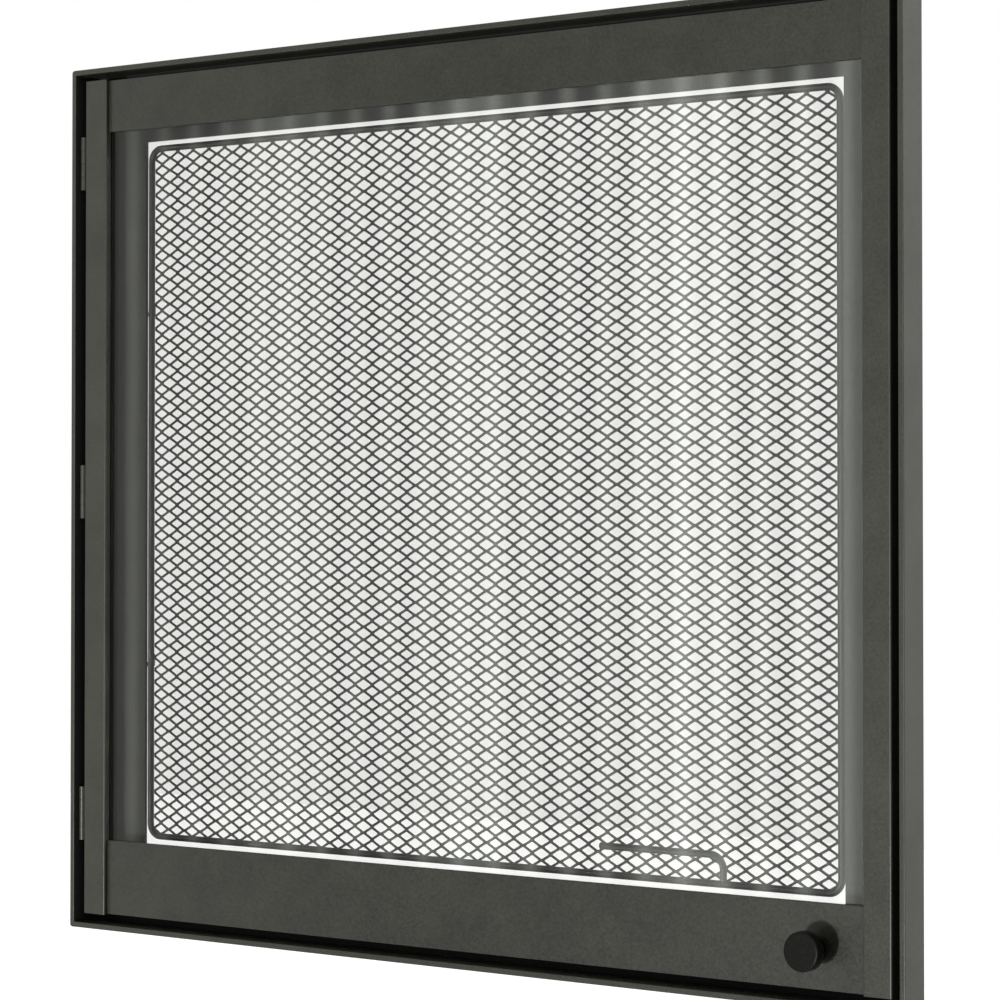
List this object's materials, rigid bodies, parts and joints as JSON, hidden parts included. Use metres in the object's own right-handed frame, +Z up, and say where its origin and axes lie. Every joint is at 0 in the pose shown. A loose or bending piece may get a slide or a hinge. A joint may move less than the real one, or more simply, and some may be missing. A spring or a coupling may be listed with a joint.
{
  "type": "fireplace glass door",
  "caption": "Wall-fixed fireplace front: a glazed door on side hinges with a turning knob latch, set in a flat-bar casing, over a lift-off mesh spark screen.",
  "frame": {"origin": "centre of the wall fixing pattern, on the back face of the casing's back plate", "axes": "+X to the right as seen from the room, +Y out of the back of the casing into the fireplace, +Z up; the glass faces the room along -Y"},
  "size_m": [0.9, 0.0592, 0.81],
  "materials": {
    "casing_steel": "satin heat-proof paint, dark olive grey",
    "door_steel": "satin heat-proof paint, dark olive grey",
    "hinge_steel": "satin heat-proof paint",
    "pin_steel": "bright steel ends",
    "screw_steel": "black oxide",
    "latch_steel": "satin heat-proof paint",
    "retainer_steel": "matte heat-proof paint",
    "screen_steel": "matte black heat-proof paint",
    "mesh_steel": "matte black heat-proof paint",
    "knob_black": "satin black",
    "ceramic_glass": "clear, polished",
    "woven_tape": "woven glass-fibre tape",
    "seal_rope": "knitted glass-fibre rope"
  },
  "bodies": {
    "casing": {"casing_top": "casing_steel", "casing_bottom": "casing_steel", "casing_left": "casing_steel", "casing_right": "casing_steel", "back_plate_top": "casing_steel", "back_plate_bottom": "casing_steel", "back_plate_left": "casing_steel", "back_plate_right": "casing_steel", "hinge_leaf_casing_low": "hinge_steel", "hinge_leaf_casing_mid": "hinge_steel", "hinge_leaf_casing_top": "hinge_steel", "hinge_pin_low": "pin_steel", "hinge_pin_mid": "pin_steel", "hinge_pin_top": "pin_steel", "hinge_screws_casing": "screw_steel", "latch_keeper": "latch_steel", "door_rope_seal": "seal_rope", "screen_lugs": "screen_steel"},
    "door": {"hinge_stile": "door_steel", "latch_stile": "door_steel", "top_rail": "door_steel", "bottom_rail": "door_steel", "glass_seat_left": "door_steel", "glass_seat_right": "door_steel", "glass_pane": "ceramic_glass", "glass_tape": "woven_tape", "retainer_top": "retainer_steel", "retainer_bottom": "retainer_steel", "retainer_left": "retainer_steel", "retainer_right": "retainer_steel", "retainer_bosses": "latch_steel", "retainer_screws": "screw_steel", "hinge_leaf_door_low": "hinge_steel", "hinge_leaf_door_mid": "hinge_steel", "hinge_leaf_door_top": "hinge_steel", "hinge_screws_door": "screw_steel", "latch_bush": "latch_steel"},
    "latch": {"knob": "knob_black", "knob_spindle": "latch_steel", "knob_grub_screw": "screw_steel", "latch_cam": "latch_steel", "spindle_washer": "screw_steel", "spindle_nut": "screw_steel"},
    "screen": {"screen_frame": "screen_steel", "screen_mesh": "mesh_steel", "screen_pull": "screen_steel", "screen_hooks": "screen_steel"}
  },
  "joints": [
    {"name": "door_swing", "type": "hinge", "parent": "casing", "child": "door", "pos_m": [-0.4405, -0.0255, 0], "axis": [0, 0, -1], "range_deg": [0, 95]},
    {"name": "knob_turn", "type": "hinge", "parent": "door", "child": "latch", "pos_m": [0.3676, -0.03, -0.358], "axis": [0, 1, 0], "range_deg": [0, 90]},
    {"name": "screen_lift", "type": "slide", "parent": "casing", "child": "screen", "axis": [0, 0, 1], "range_m": [0, 0.0036]}
  ]
}
